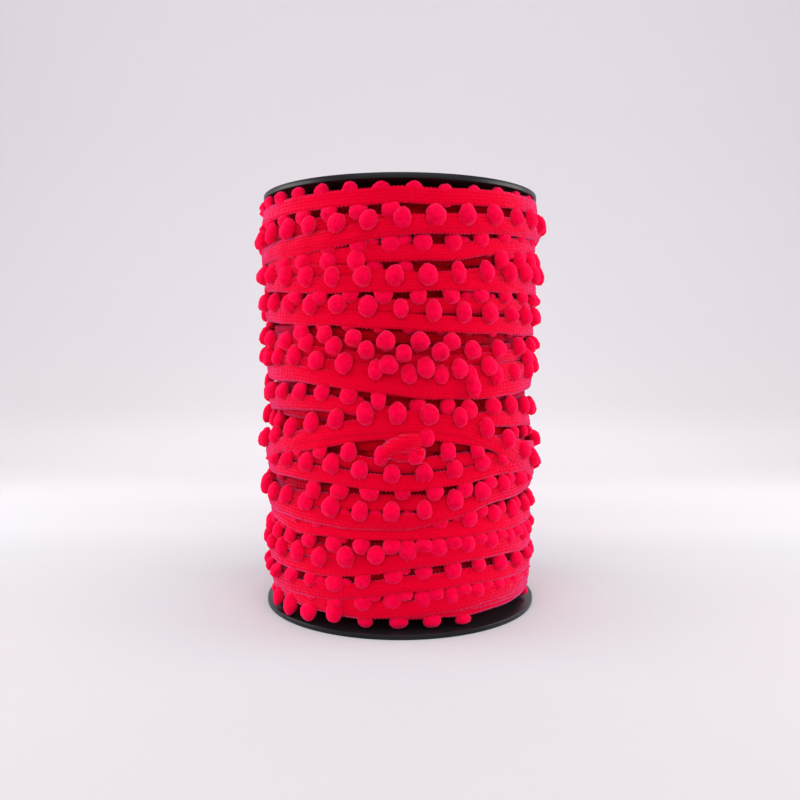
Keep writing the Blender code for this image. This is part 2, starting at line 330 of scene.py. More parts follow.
# The plain layer beneath the rest, wound down the spool before the turns that show.
def innerTurns():
    s = innerLay
    pitch = (s["high"] - s["low"]) / s["count"]
    rows = []
    for number in range(s["count"]):
        heights = [s["high"] - pitch * (number + 0.5 + angle / 360.0) for angle in frontAngles]
        ball = (s["shift"] * number) % int(s["spacing"])
        rows.append(Turn(f"inner{number}", heights, ball, s["spacing"], [s["rise"]] * 3, s["below"]))
    return rows


# What has been wound so far: the outer radius over angle and height.
class Winding:
    def __init__(self):
        s = trimLay
        self.rows = int(spoolHeight / s["cell"]) + 1
        heights = np.arange(self.rows) * s["cell"]
        core = np.interp(heights, *zip(*s["coreRadius"]))
        self.floor = np.tile(core, (s["steps"], 1))
        self.heads = self.floor.copy()  # with the pompoms at their full height
        self.laid = []

    def place(self, index, height):
        row = np.round(np.asarray(height) / trimLay["cell"]).astype(int)
        return np.asarray(index) % trimLay["steps"], np.clip(row, 0, self.rows - 1)

    def read(self, index, height):
        return self.floor[self.place(index, height)]

    def raiseTo(self, index, height, level):
        place = self.place(index, height)
        np.maximum.at(self.floor, place, level)
        np.maximum.at(self.heads, place, level)

    # Marks a pompom: a low swelling for tapes that cross it, its full head for pompoms.
    def press(self, pompom, limit):
        s = trimLay
        wide, tall = s["pressStep"]
        half = int(s["pressReach"] / wide) + 1
        for a in range(-half, half + 1):
            for b in range(-s["halfCells"], s["halfCells"] + 1):
                reach = math.hypot(a * wide, b * s["cell"] * tall)
                if reach < s["pressReach"]:
                    level = min(pompom.own + s["pressedPompom"] * (1 - reach**2 / s["pressDome"]), limit)
                    spot = (int(round(pompom.at)) + a, pompom.middle + b * s["cell"])
                    self.raiseTo(*spot, level)
                    head = pompom.out + s["headHigh"] * (1 - reach**2 / s["headDome"])
                    np.maximum.at(self.heads, self.place(*spot), head)


# Shares of the tape's lanes at one distance from its middle.
def laneShares(offset):
    lanes = trimLay["lanes"]
    return np.array([np.interp(offset, lanes, row) for row in np.eye(len(lanes))])


def tapeHeights(turns, rng):
    s = trimLay
    steps = s["steps"]
    keys, heights = [], []
    for number, turn in enumerate(turns):
        for angle, height in zip(frontAngles, turn.heights):
            keys.append((number + 0.5 + angle / 360.0) * steps)
            heights.append(height)
    along = np.arange(len(turns) * steps + 1)
    middle = curveThrough(keys, heights, along.clip(keys[0], keys[-1]))
    return middle + slowNoise(rng, along, s["wanderLengths"], s["wander"])


# A value given at left, middle and right, at one angle.
def overFront(values, angle):
    side = trimLay["sideAngle"]
    return np.interp(angle, (-side, 0, side), values) if isinstance(values, tuple) else values + 0 * angle


# How far each sample of a run lies below the outermost turns.
def belowAlong(turns, index):
    steps = trimLay["steps"]
    number = np.clip((index - 1) // steps, 0, len(turns) - 1)
    angle = (index / steps - number - 0.5) * 360
    return np.array([overFront(turns[k].below, a) for k, a in zip(number, angle)], float)


Pompom = namedtuple("Pompom", "at middle rise own out order hem")


# Where the pompoms fall along one run, and how far above the tape's middle.
def pompomPlaces(turns):
    steps, spacing, front = trimLay["steps"], trimLay["backSpacing"], trimLay["frontReach"]
    fronts = []
    for turn in turns:
        most = int(front / turn.spacing) + 2
        angles = turn.ball + np.arange(-most, most + 1) * turn.spacing
        fronts.append(angles[np.abs(angles) < front])
    places = []
    for number, turn in enumerate(turns):
        base = (number + 0.5) * steps
        for angle in fronts[number]:
            if not any(low < angle < high for low, high in turn.bare):
                rise = float(overFront(tuple(turn.rises), angle))
                places.append((base + angle / 360.0 * steps, rise))
        start = base + fronts[number][-1] / 360.0 * steps
        following = turns[min(number + 1, len(turns) - 1)]
        stop = base + steps + fronts[min(number + 1, len(turns) - 1)][0] / 360.0 * steps
        count = int(round((stop - start) / steps * 360.0 / spacing))
        for k in range(1, count):
            share = k / count
            at = start + share * (stop - start)
            places.append((at, turn.rises[2] + share * (following.rises[0] - turn.rises[2])))
    first = (fronts[0][0] + 180.0) / 360.0 * steps
    gap = spacing / 360.0 * steps
    places += [(first - k * gap, turns[0].rises[0]) for k in range(1, int(first / gap) + 1)]
    last = len(turns) * steps - gap / 2
    return sorted(place for place in places if place[0] < last)


# Leaves out a pompom that a later one would push into.
def withoutBuried(pompoms, apart):
    steps = trimLay["steps"]
    arc = 2 * math.pi * trimLay["meanRadius"] / steps
    at = np.array([p.at for p in pompoms])
    middle = np.array([p.middle for p in pompoms])
    kept = []
    for k, pompom in enumerate(pompoms):
        around = (at - pompom.at + steps / 2) % steps - steps / 2
        near = np.hypot(around * arc, middle - pompom.middle) < apart
        if not (near & (np.arange(len(pompoms)) > k)).any():
            kept.append(pompom)
    return kept


def strayPompoms():
    s = trimLay
    last = 99  # later than any turn, so no tape lies over them
    return [
        Pompom((angle / 360 + 0.5) * s["steps"], height, s["strayRise"], out, out, last, 0.0)
        for angle, height, out in strays
    ]


# Winds one run over what is there already, a turn at a time.
def layRun(winding, turns, seed):
    s = trimLay
    steps, cell = s["steps"], s["cell"]
    rng = np.random.default_rng(seed)
    lanes, thickness = np.array(s["lanes"]), np.array(s["thickness"])
    height = tapeHeights(turns, rng)
    places = pompomPlaces(turns)
    cells = range(-s["halfCells"], s["halfCells"] + 1)
    faceRadius = list(zip(*s["faceRadius"]))
    inner = np.zeros((len(height), len(lanes)))
    pompoms = []
    for number, turn in enumerate(turns):
        first, last = number * steps, (number + 1) * steps
        index = np.arange(max(first - s["overlap"], 0), min(last + s["overlap"], len(height) - 1) + 1)
        level = height[index][:, None] + lanes
        beneath = winding.read(index[:, None], level)
        limit = np.interp(level, *faceRadius) - thickness.max()
        eased = np.where(beneath > limit, limit + s["give"] * (beneath - limit), beneath)
        held = limit - smoothAlong(belowAlong(turns, index), s["belowEase"])[:, None]
        spanned = hullAcross(smoothAlong(widestAlong(eased, s["bridge"]), s["stretch"]), lanes)
        spanned = np.maximum(spanned, held)
        radius = np.maximum(np.maximum(spanned, eased - s["sink"]), beneath - s["bed"])
        keep = (index >= first) & (index <= last)
        index, radius = index[keep], radius[keep]
        inner[index] = radius
        face = radius + thickness
        for up in cells:
            winding.raiseTo(index, height[index] + up * cell, face @ laneShares(up * cell))
        winding.laid.append((index, height[index], radius))
        order = len(winding.laid)
        added = []
        for at, rise in places:
            if not first <= at < last:
                continue
            i = int(round(at))
            middle = height[min(i, last)] + rise + rng.normal(0, s["scatter"])
            spots = [(i + a, middle + b) for a in s["feelAlong"] for b in s["feelUp"]]
            rest = float(np.mean([winding.heads[winding.place(*spot)] for spot in spots]))
            own = face[min(i, last) - first, len(lanes) // 2]
            out = min(max(rest + s["bury"], own + s["outFrom"]), own + s["outTo"])
            around = (at / steps - number - 0.5) * 360
            out += float(overFront(turn.lift, around))
            out = min(out, own + float(overFront(turn.proud, around)) - pompomShape["size"][1])
            added.append(Pompom(at, middle, rise, own, out, order, turn.hem))
        for pompom in added:
            limit = float(np.interp(pompom.middle, *faceRadius)) + s["pressLimit"]
            winding.press(pompom, limit)
        pompoms += added
    return height, smoothAlong(inner, s["settle"]), pompoms


# For each turn, how far out its pompoms may reach under the turns laid after it.
def ceilingMaps(winding, swell):
    cell = trimLay["cell"]
    edge = trimLay["lanes"][-1]
    count = int((edge + swell["reach"]) / cell)
    roof = np.full(winding.floor.shape, swell["open"])
    maps = {len(winding.laid) + 1: roof.copy()}
    for order in range(len(winding.laid), 0, -1):
        maps[order] = roof.copy()
        index, height, radius = winding.laid[order - 1]
        for offset in np.arange(-count, count + 1) * cell:
            beyond = max(abs(offset) - edge, 0.0)
            level = radius @ laneShares(offset) + swell["slack"] + math.sqrt(swell["round"] * beyond)
            np.minimum.at(roof, winding.place(index, height + offset), level)
    return maps


# How far each point lies below the outermost turns, in mm, for the painted shade of the wool.
def addDepth(piece):
    mesh = piece.data
    points = np.empty(len(mesh.vertices) * 3)
    mesh.vertices.foreach_get("co", points)
    x, y, z = points.reshape(-1, 3).T / mm
    depth = np.interp(z, *zip(*trimLay["faceRadius"])) - np.hypot(x, y)
    mesh.attributes.new("depth", "FLOAT", "POINT").data.foreach_set("value", depth)


# The tape

tapeKnit = {
    "ribRelief": 0.05,  # how far its ribs stand out
    "edgeZigzag": 0.13,  # how far its edges step up and down
    "flangeClear": 1.55,  # nearest it comes to either end of the spool
}


# One closed strip for samples first to last of a run: its lanes outside and three more inside.
def makeTape(name, height, inner, first, last, stride):
    s = tapeKnit
    index = np.arange(first, last + 1, stride)
    lanes = np.array(trimLay["lanes"])
    angle = (index / trimLay["steps"] * 2 - 1)[:, None] * math.pi
    rib = np.where(np.arange(len(index)) % 2, 1.0, -1.0)[:, None]
    zigzag = s["edgeZigzag"] * rib * np.where(np.abs(lanes) >= lanes[-1], np.sign(lanes), 0.0)
    outside = inner[index] + np.array(trimLay["thickness"]) + s["ribRelief"] * rib
    level = height[index][:, None] + lanes + zigzag
    backLanes = [len(lanes) - 1, len(lanes) // 2, 0]
    radius = np.concatenate([outside, inner[index][:, backLanes]], 1)
    level = np.concatenate([level, level[:, backLanes]], 1)
    level = level.clip(s["flangeClear"], spoolHeight - s["flangeClear"])
    ring = onRoll(radius, angle + 0 * radius, level)
    count, sides = ring.shape[:2]
    row = np.arange(count - 1)[:, None] * sides
    col = np.arange(sides)
    after = (col + 1) % sides
    faces = np.stack([row + col, row + sides + col, row + sides + after, row + after], -1)
    faces = faces.reshape(-1, 4).tolist()
    faces += [list(range(sides)), list(range(count * sides - 1, (count - 1) * sides - 1, -1))]
    tape = pieceFromArrays(name, ring.reshape(-1, 3), faces)
    steps = np.linalg.norm(np.diff(ring[:, 3], axis=0), axis=1)
    u = np.repeat(np.concatenate([[0.0], np.cumsum(steps)])[:, None], sides, 1).ravel()
    v = np.tile(np.concatenate([lanes, lanes[backLanes]]), count)
    corners = np.empty(len(tape.data.loops), int)
    tape.data.loops.foreach_get("vertex_index", corners)
    layer = tape.data.uv_layers.new(name="tapeMm")
    layer.data.foreach_set("uv", np.stack([u[corners], v[corners]], -1).ravel())
    print(name, round(float(steps.sum()) / 1000, 2), "m of tape")
    return tape


# The folded bit of tape that shows under the arched turn

clumpSettings = {
    "angles": (-13.5, 13.5),
    "heights": (46.6, 57.4),
    "cells": (84, 40),
    "base": 38.4,
    "lobes": (  # angle, height, half length, half width, turned by, how far it stands out
        (1.6, 53.2, 7.0, 3.2, 18, 5.8), (6.6, 50.8, 2.6, 2.6, -20, 5.3), (-5.4, 50.7, 2.9, 2.2, 22, 5.2),
        (0.6, 50.0, 4.6, 1.9, -4, 4.4),
    ),
    "wrinkle": 0.06,
    "wrinkleWaves": (1.9, 4.2, 1.3),
    "blend": 0.02,  # how softly the folds meet
    "thick": 1.0,
}


def makeClump():
    s = clumpSettings
    across, up = np.meshgrid(*[np.linspace(-1, 1, cells) for cells in s["cells"]], indexing="ij")
    angle = np.radians(np.interp(across, (-1, 1), s["angles"]))
    height = np.interp(up, (-1, 1), s["heights"])
    around = trimLay["meanRadius"]
    x, y = angle * around, height - s["heights"][0]
    body = np.zeros(x.shape)
    for at, level, length, width, turned, out in s["lobes"]:
        dx, dy = x - math.radians(at) * around, height - level
        turn = math.radians(turned)
        along = (dx * math.cos(turn) + dy * math.sin(turn)) / length
        over = (dy * math.cos(turn) - dx * math.sin(turn)) / width
        lobe = out * np.sqrt((1 - along**2 - over**2).clip(0, 1))
        body = -softLeast(-body, -lobe, s["blend"])
    along, over, slow = s["wrinkleWaves"]
    front = s["base"] + body + s["wrinkle"] * np.sin(along * x - over * y + np.sin(slow * x))
    points = np.concatenate([onRoll(front, angle, height), onRoll(front - s["thick"], angle, height)])
    wide, tall = s["cells"]
    ids = np.arange(wide * tall).reshape(wide, tall)
    face = np.stack([ids[:-1, :-1], ids[1:, :-1], ids[1:, 1:], ids[:-1, 1:]], -1).reshape(-1, 4)
    rim = np.concatenate([ids[:-1, 0], ids[-1, :-1], ids[:0:-1, -1], ids[0, :0:-1]])
    nextRim = np.roll(rim, -1)
    back = wide * tall
    wall = np.stack([nextRim, rim, rim + back, nextRim + back], -1)
    faces = np.concatenate([face, face[:, ::-1] + back, wall])
    clump = pieceFromArrays("crumpledTape", points.reshape(-1, 3), faces.tolist())
    corners = np.empty(len(clump.data.loops), int)
    clump.data.loops.foreach_get("vertex_index", corners)
    flat = np.stack([x.ravel(), y.ravel()], -1)[corners % back]
    clump.data.uv_layers.new(name="tapeMm").data.foreach_set("uv", flat.ravel())
    print("clump made")
    return clump


# Pompoms

pompomShape = {
    "cuts": 2,
    "flangeClear": 1.7,  # room left under the top flange
    "footClear": 1.9,  # and above the lower one, for those that hang
    "size": (2.5, 1.85, 3.0),  # half sizes along the tape, outwards and up
    "apart": 3.3,  # one nearer than this to a later one is left out
    "hemFade": 1.4,  # height over which it swells out from its tape
    "lean": 0.20,  # how far its top leans towards the spool
    "lumps": 0.09,  # how lumpy one is, from how many waves, and their size
    "lumpCount": 3,
    "lumpWaves": 2.2,
    "lumpPhase": 6.3,
    "spread": 0.07,  # how much they differ in size
    "heightClear": 1.6,  # nearest any part of it comes to either end of the spool
    "pressedEdge": 0.25,  # how round a pressed pompom's edge is
    "hemDeep": 0.15,  # how far inside its tape's face it starts
}

# How a pompom swells out beside a tape that lies over it, and the radius where none does.
pressedSwell = {"round": 4.0, "reach": 1.8, "slack": 0.15, "open": 99.0}


# A ball of small even faces, as points of the unit sphere and quads.
def pompomBall():
    deselectAll()
    bpy.ops.mesh.primitive_cube_add(size=2.0)
    ball = startPiece("pompomBall")
    bpy.ops.object.mode_set(mode="EDIT")
    bpy.ops.mesh.select_all(action="SELECT")
    bpy.ops.mesh.subdivide(number_cuts=pompomShape["cuts"])
    bpy.ops.transform.tosphere(value=1.0)
    bpy.ops.object.mode_set(mode="OBJECT")
    points = np.array([vertex.co[:] for vertex in ball.data.vertices])
    points /= np.linalg.norm(points, axis=1)[:, None]
    faces = np.array([polygon.vertices[:] for polygon in ball.data.polygons])
    bpy.data.objects.remove(ball, do_unlink=True)
    return points, faces


def turnedAtRandom(points, rng):
    q = rng.normal(size=4)
    w, x, y, z = q / np.linalg.norm(q)
    matrix = np.array([
        [1 - 2 * (y * y + z * z), 2 * (x * y - z * w), 2 * (x * z + y * w)],
        [2 * (x * y + z * w), 1 - 2 * (x * x + z * z), 2 * (y * z - x * w)],
        [2 * (x * z - y * w), 2 * (y * z + x * w), 1 - 2 * (x * x + y * y)],
    ])
    return points @ matrix.T


# The pompoms of a run as one mesh, each flattened where a later turn lies over it.
def makePompoms(name, pompoms, ceilings, ball, seed, hanging=False):
    s = pompomShape
    rng = np.random.default_rng(seed)
    shape, faces = ball
    allPoints, allFaces = [], []
    for number, pompom in enumerate(pompoms):
        unit = turnedAtRandom(shape, rng)
        lumps = [
            np.sin(unit @ rng.normal(0, s["lumpWaves"], 3) + rng.uniform(0, s["lumpPhase"]))
            for _ in range(s["lumpCount"])
        ]
        size = np.array(s["size"]) * (1 + rng.normal(0, s["spread"], 3))
        local = unit * size * (1 + s["lumps"] * sum(lumps) / s["lumpCount"])[:, None]
        side = -1.0 if hanging else 1.0
        up = local[:, 2] * side
        radius = pompom.out + local[:, 1] - s["lean"] * up
        turn = (pompom.at / trimLay["steps"] * 2 - 1) * math.pi
        angle = turn + local[:, 0] / pompom.out
        headroom = spoolHeight - s["flangeClear"] - pompom.middle
        if hanging:
            headroom = pompom.middle - s["footClear"]
        up = np.where(up > 0, up * min(1.0, headroom / size[2]), up)
        height = (pompom.middle + up * side).clip(s["heightClear"], spoolHeight - s["heightClear"])
        roof = ceilings.get(pompom.order, ceilings[max(ceilings)])
        column = np.round((angle / math.pi + 1) / 2 * trimLay["steps"]).astype(int)
        row = np.clip(np.round(height / trimLay["cell"]).astype(int), 0, roof.shape[1] - 1)
        radius = softLeast(radius, roof[column % trimLay["steps"], row], s["pressedEdge"])
        aboveHem = (pompom.rise * side + up - pompom.hem).clip(0, None)
        grown = (aboveHem / s["hemFade"]).clip(0, 1)
        face = pompom.own - s["hemDeep"]
        radius = np.where(radius > face, face + (radius - face) * grown * (2 - grown), radius)
        allPoints.append(onRoll(radius, angle, height))
        allFaces.append(faces + number * len(shape))
    print(name, len(pompoms), "pompoms")
    return pieceFromArrays(name, np.concatenate(allPoints), np.concatenate(allFaces).tolist())


# Finishes

woolSettings = {
    "red": (0.76, 0.0004, 0.020, 1.0),
    # painted highlight on the middle of each stitch
    "stitchHighlightRed": (0.82, 0.0010, 0.033, 1.0),
    "fluffRed": (0.79, 0.0005, 0.034, 1.0),
    "fluffBright": (0.98, 0.0015, 0.057, 1.0),
    # painted shade: the colour of the wool deep between the turns, and the depths where it starts and where
    # it is full
    "paintedShadeRed": (0.49, 0.0003, 0.008, 1.0),
    # the core's wool, painted darker than the trim as painted shade for the deep turns
    "corePaintedShadeRed": (0.48, 0.0002, 0.007, 1.0),
    "corePaintedShadeBright": (0.63, 0.0003, 0.010, 1.0),
    "deepFrom": 0.4,  # depth in mm where the shade starts and where it is full
    "deepTo": 2.5,
    "roughness": 0.9,
    "knitSheen": 0.85,
    "knitSheenRoughness": 0.33,
    "fluffSheen": 0.24,
    "fluffSheenRoughness": 0.42,
    "sheenTint": (1.0, 0.27, 0.80, 1.0),
    "stitch": (1.5, 1.04),  # stitches for each mm along and across the tape
    "stitchRandom": 0.35,
    "stitchReach": (0.1, 0.62),  # from the middle of a stitch to its edge
    "rows": 0.33,  # ribs along the tape
    "rowsUneven": 0.6,
    "yarn": 2600.0,  # noise scale of the tape's fuzz
    "yarnShare": 0.45,
    "cloud": 160.0,  # slow change of tone along the tape
    "cutYarn": 1500.0,  # noise scale of the pompoms' cut yarn, and of its tufts
    "tufts": 650.0,
    "tuftReach": (0.75, 1.25),
    "coreYarn": 900.0,
    "knitBump": (0.7, 0.00018),  # strength and depth in metres
    "fluffBump": (0.8, 0.0004),
}


def newMaterial(name):
    material = bpy.data.materials.new(name)
    material.use_nodes = True
    tree = material.node_tree
    return material, tree.nodes, tree.links, tree.nodes["Principled BSDF"]


def addNode(nodes, kind, values=(), **settings):
    node = nodes.new(kind)
    for key, value in settings.items():
        setattr(node, key, value)
    for key, value in dict(values).items():
        node.inputs[key].default_value = value
    return node


# A noise on Object coordinates.
def noiseOn(nodes, links, place, scale, detail, roughness=0.5):
    settings = {"Scale": scale, "Detail": detail, "Roughness": roughness}
    noise = addNode(nodes, "ShaderNodeTexNoise", settings)
    links.new(place.outputs["Object"], noise.inputs["Vector"])
    return noise.outputs["Fac"]


def calculate(nodes, links, operation, first, second, clamped=False):
    node = addNode(nodes, "ShaderNodeMath", operation=operation, use_clamp=clamped)
    links.new(first, node.inputs[0])
    if isinstance(second, float):
        node.inputs[1].default_value = second
    else:
        links.new(second, node.inputs[1])
    return node.outputs["Value"]


def mapRange(nodes, links, value, reach, to=(0.0, 1.0), smooth=False):
    kind = "SMOOTHSTEP" if smooth else "LINEAR"
    limits = {"From Min": reach[0], "From Max": reach[1], "To Min": to[0], "To Max": to[1]}
    ramp = addNode(nodes, "ShaderNodeMapRange", limits, interpolation_type=kind)
    links.new(value, ramp.inputs["Value"])
    return ramp.outputs["Result"]


def addBump(nodes, links, shader, height, settings):
    strength, distance = settings
    bump = addNode(nodes, "ShaderNodeBump", {"Strength": strength, "Distance": distance})
    links.new(height, bump.inputs["Height"])
    links.new(bump.outputs["Normal"], shader.inputs["Normal"])


def mixColors(nodes, links, share, first, second, blend="MIX"):
    mix = addNode(nodes, "ShaderNodeMix", data_type="RGBA", blend_type=blend)
    links.new(share, mix.inputs[0])
    for socket, value in ((mix.inputs[6], first), (mix.inputs[7], second)):
        if isinstance(value, tuple):
            socket.default_value = value
        else:
            links.new(value, socket)
    return mix.outputs[2]


def setWool(shader, sheen, sheenRoughness=0.4):
    s = woolSettings
    shader.inputs["Roughness"].default_value = s["roughness"]
    shader.inputs["Specular IOR Level"].default_value = 0.0
    shader.inputs["Sheen Weight"].default_value = sheen
    shader.inputs["Sheen Roughness"].default_value = sheenRoughness
    shader.inputs["Sheen Tint"].default_value = s["sheenTint"]


# Painted shade: the wool's colour is darkened where it lies deep between the turns.
def shadeByDepth(nodes, links, color):
    s = woolSettings
    depth = addNode(nodes, "ShaderNodeAttribute", attribute_name="depth")
    share = mapRange(nodes, links, depth.outputs["Fac"], (s["deepFrom"], s["deepTo"]), smooth=True)
    return mixColors(nodes, links, share, color, s["paintedShadeRed"])


def knitFinish():
    s = woolSettings
    material, nodes, links, shader = newMaterial("redKnit")
    setWool(shader, s["knitSheen"], s["knitSheenRoughness"])
    along = addNode(nodes, "ShaderNodeUVMap", uv_map="tapeMm")
    place = addNode(nodes, "ShaderNodeTexCoord")
    scaled = addNode(nodes, "ShaderNodeMapping", {"Scale": (*s["stitch"], 1.0)})
    links.new(along.outputs["UV"], scaled.inputs["Vector"])
    stitches = addNode(nodes, "ShaderNodeTexVoronoi", {"Scale": 1.0, "Randomness": s["stitchRandom"]})
    links.new(scaled.outputs["Vector"], stitches.inputs["Vector"])
    loop = mapRange(nodes, links, stitches.outputs["Distance"], s["stitchReach"], (1.0, 0.0))
    waves = {"Scale": s["rows"], "Distortion": s["rowsUneven"], "Detail": 1.0}
    rows = addNode(nodes, "ShaderNodeTexWave", waves, bands_direction="Y")
    links.new(along.outputs["UV"], rows.inputs["Vector"])
    fuzz = noiseOn(nodes, links, place, s["yarn"], detail=3.0, roughness=0.6)
    slow = noiseOn(nodes, links, place, s["cloud"], detail=2.0)
    ridge = calculate(nodes, links, "ADD", rows.outputs["Fac"], loop)
    height = calculate(nodes, links, "MULTIPLY", fuzz, s["yarnShare"])
    total = calculate(nodes, links, "ADD", ridge, height)
    addBump(nodes, links, shader, total, s["knitBump"])
    # Painted highlight: lighter in the middle of each stitch, varied by the slow random tone along the tape.
    stitchHighlight = calculate(nodes, links, "MULTIPLY", loop, slow, clamped=True)
    color = mixColors(nodes, links, stitchHighlight, s["red"], s["stitchHighlightRed"])
    links.new(shadeByDepth(nodes, links, color), shader.inputs["Base Color"])
    return material


def fluffFinish():
    s = woolSettings
    material, nodes, links, shader = newMaterial("redFluff")
    setWool(shader, s["fluffSheen"], s["fluffSheenRoughness"])
    place = addNode(nodes, "ShaderNodeTexCoord")
    yarn = noiseOn(nodes, links, place, s["cutYarn"], detail=4.0, roughness=0.7)
    tufts = noiseOn(nodes, links, place, s["tufts"], detail=2.0)
    total = calculate(nodes, links, "ADD", yarn, tufts)
    addBump(nodes, links, shader, total, s["fluffBump"])
    share = mapRange(nodes, links, total, s["tuftReach"])
    color = mixColors(nodes, links, share, s["fluffRed"], s["fluffBright"])
    links.new(shadeByDepth(nodes, links, color), shader.inputs["Base Color"])
    return material


# The core's wool, painted dark as painted shade for the deep turns, with a random yarn tone.
def coreFinish():
    s = woolSettings
    material, nodes, links, shader = newMaterial("coreWoolPaintedShade")
    setWool(shader, 0.0)
    place = addNode(nodes, "ShaderNodeTexCoord")
    yarn = noiseOn(nodes, links, place, s["coreYarn"], detail=3.0)
    color = mixColors(nodes, links, yarn, s["corePaintedShadeRed"], s["corePaintedShadeBright"])
    links.new(color, shader.inputs["Base Color"])
    addBump(nodes, links, shader, yarn, s["fluffBump"])
    return material


# The spool

spoolSettings = {
    "segments": 144,
    "flange": 1.5,
    "hub": 16.0,
    "bore": 13.0,
    "fillet": 1.2,
    "filletShare": 0.35,  # where the fillet's middle edge lies
    "rim": 1.1,  # width of the raised rim on the outer faces
    "recess": 0.35,
    "slope": 0.3,  # width of the recess's sloping sides
    "collar": 18.6,
    "boreEase": 0.5,
    "bevel": 0.22,
    "bevelSegments": 2,
    "bevelAngle": 40,
    "smoothAngle": 35,
    "capNear": 0.01,  # how near a height counts as at it
    "black": (0.006, 0.006, 0.008, 1.0),
    "worn": (0.011, 0.012, 0.015, 1.0),
    "specular": 0.22,
    "cloud": 45.0,  # noise scales of the tone and of the moulded grain
    "grain": 2200.0,
    "gloss": (0.28, 0.40),  # roughness from one side of the cloud to the other
    "glossReach": (0.3, 0.7),
    "grainBump": (0.25, 0.00005),
}


# Draws the selected cap on to a new radius and height, as a turner would.
def turnOn(cap, radius, height):
    bpy.ops.mesh.extrude_region_move(TRANSFORM_OT_translate={"value": (0, 0, (height - cap["z"]) * mm)})
    scale = radius / cap["r"]
    bpy.ops.transform.resize(value=(scale, scale, 1.0), center_override=(0, 0, height * mm))
    cap["r"], cap["z"] = radius, height


# Selects the many-sided face at one height.
def selectCap(spool, height):
    near = spoolSettings["capNear"]
    bpy.ops.mesh.select_all(action="DESELECT")
    bpy.ops.object.mode_set(mode="OBJECT")
    for polygon in spool.data.polygons:
        polygon.select = len(polygon.vertices) > 4 and abs(polygon.center.z / mm - height) < near
    bpy.ops.object.mode_set(mode="EDIT")


# The rim, the shallow recess and the bore's eased edge of one flange.
def outerFace(cap, side):
    s = spoolSettings
    rim, high = flangeRadius - s["rim"], cap["z"]
    low = high - side * s["recess"]
    for radius, height in (
        (rim, high), (rim - s["slope"], low), (s["collar"] + s["slope"], low), (s["collar"], high),
        (s["bore"] + s["boreEase"], high), (s["bore"], high - side * s["boreEase"]),
    ):
        turnOn(cap, radius, height)


def makeSpool():
    s = spoolSettings
    top, flange, hub, fillet = spoolHeight, s["flange"], s["hub"], s["fillet"]
    eased = s["filletShare"] * fillet
    deselectAll()
    bpy.ops.mesh.primitive_cylinder_add(
        vertices=s["segments"], radius=flangeRadius * mm, depth=flange * mm,
        location=(0, 0, flange / 2 * mm), end_fill_type="NGON",
    )
    spool = startPiece("turnedSpool")
    applyPlace(spool)
    bpy.ops.object.mode_set(mode="EDIT")
    bpy.ops.mesh.select_mode(type="FACE")
    selectCap(spool, flange)
    cap = {"r": flangeRadius, "z": flange}
    for radius, height in (
        (hub + fillet, flange), (hub + eased, flange + eased), (hub, flange + fillet),
        (hub, top - flange - fillet), (hub + eased, top - flange - eased), (hub + fillet, top - flange),
        (flangeRadius, top - flange), (flangeRadius, top),
    ):
        turnOn(cap, radius, height)
    outerFace(cap, 1)
    selectCap(spool, 0.0)
    cap = {"r": flangeRadius, "z": 0.0}
    outerFace(cap, -1)
    bpy.ops.mesh.select_all(action="DESELECT")
    bpy.ops.object.mode_set(mode="OBJECT")
    for polygon in spool.data.polygons:
        polygon.select = len(polygon.vertices) > 4
    bpy.ops.object.mode_set(mode="EDIT")
    bpy.ops.mesh.delete(type="ONLY_FACE")
    bpy.ops.mesh.select_mode(type="EDGE")
    bpy.ops.mesh.select_non_manifold()
    bpy.ops.mesh.bridge_edge_loops()
    bpy.ops.mesh.select_all(action="SELECT")
    bpy.ops.mesh.normals_make_consistent(inside=False)
    bpy.ops.object.mode_set(mode="OBJECT")
    edges = spool.modifiers.new("softEdges", "BEVEL")
    edges.width = s["bevel"] * mm
    edges.segments = s["bevelSegments"]
    edges.limit_method = "ANGLE"
    edges.angle_limit = math.radians(s["bevelAngle"])
    bpy.ops.object.modifier_apply(modifier=edges.name)
    bpy.ops.object.shade_smooth_by_angle(angle=math.radians(s["smoothAngle"]))
    print("spool turned,", len(spool.data.polygons), "faces")
    return spool


def plasticFinish():
    s = spoolSettings
    material, nodes, links, shader = newMaterial("blackPlastic")
    shader.inputs["Specular IOR Level"].default_value = s["specular"]
    place = addNode(nodes, "ShaderNodeTexCoord")
    cloud = noiseOn(nodes, links, place, s["cloud"], detail=4.0, roughness=0.6)
    grain = noiseOn(nodes, links, place, s["grain"], detail=2.0)
    gloss = mapRange(nodes, links, cloud, s["glossReach"], s["gloss"])
    links.new(gloss, shader.inputs["Roughness"])
    color = mixColors(nodes, links, cloud, s["black"], s["worn"])
    links.new(color, shader.inputs["Base Color"])
    addBump(nodes, links, shader, grain, s["grainBump"])
    return material


# The pale stand, swept up into a wall

standSettings = {
    "width": 3.0,
    "front": -1.2,
    "back": 0.55,
    "wallHeight": 1.4,
    "sweepRadius": 0.30,
    "sweepSteps": 24,
    "rampFrom": -0.30,
    "rampTo": 0.60,
    # painted light: the paper's tone changes with distance back and is brightest where the floor sweeps up
    # into the wall
    "paintedLightTones": (  # paper tone by distance back
        (-0.25, (0.71, 0.705, 0.725)), (-0.05, (0.67, 0.67, 0.69)), (0.05, (0.63, 0.635, 0.65)),
        (0.11, (0.685, 0.68, 0.70)), (0.20, (0.765, 0.75, 0.77)), (0.33, (0.785, 0.765, 0.79)),
        (0.40, (0.725, 0.70, 0.73)), (0.48, (0.715, 0.69, 0.725)),
    ),
    # painted light close to the roll: less red and lighter in green and blue, taking out part of its shadow
    # and red bounce
    "paintedLightNearRoll": (0.96, 1.04, 1.06, 1.0),  # cooler close to the roll
    "paintedLightNearRollReach": (0.05, 0.13),
    "fleck": (0.55, 0.54, 0.56, 1.0),
    "fleckShare": 0.05,
    "grain": 350.0,
    "grainBump": (0.1, 0.0002),
    "roughness": 0.9,
    "specular": 0.2,
}


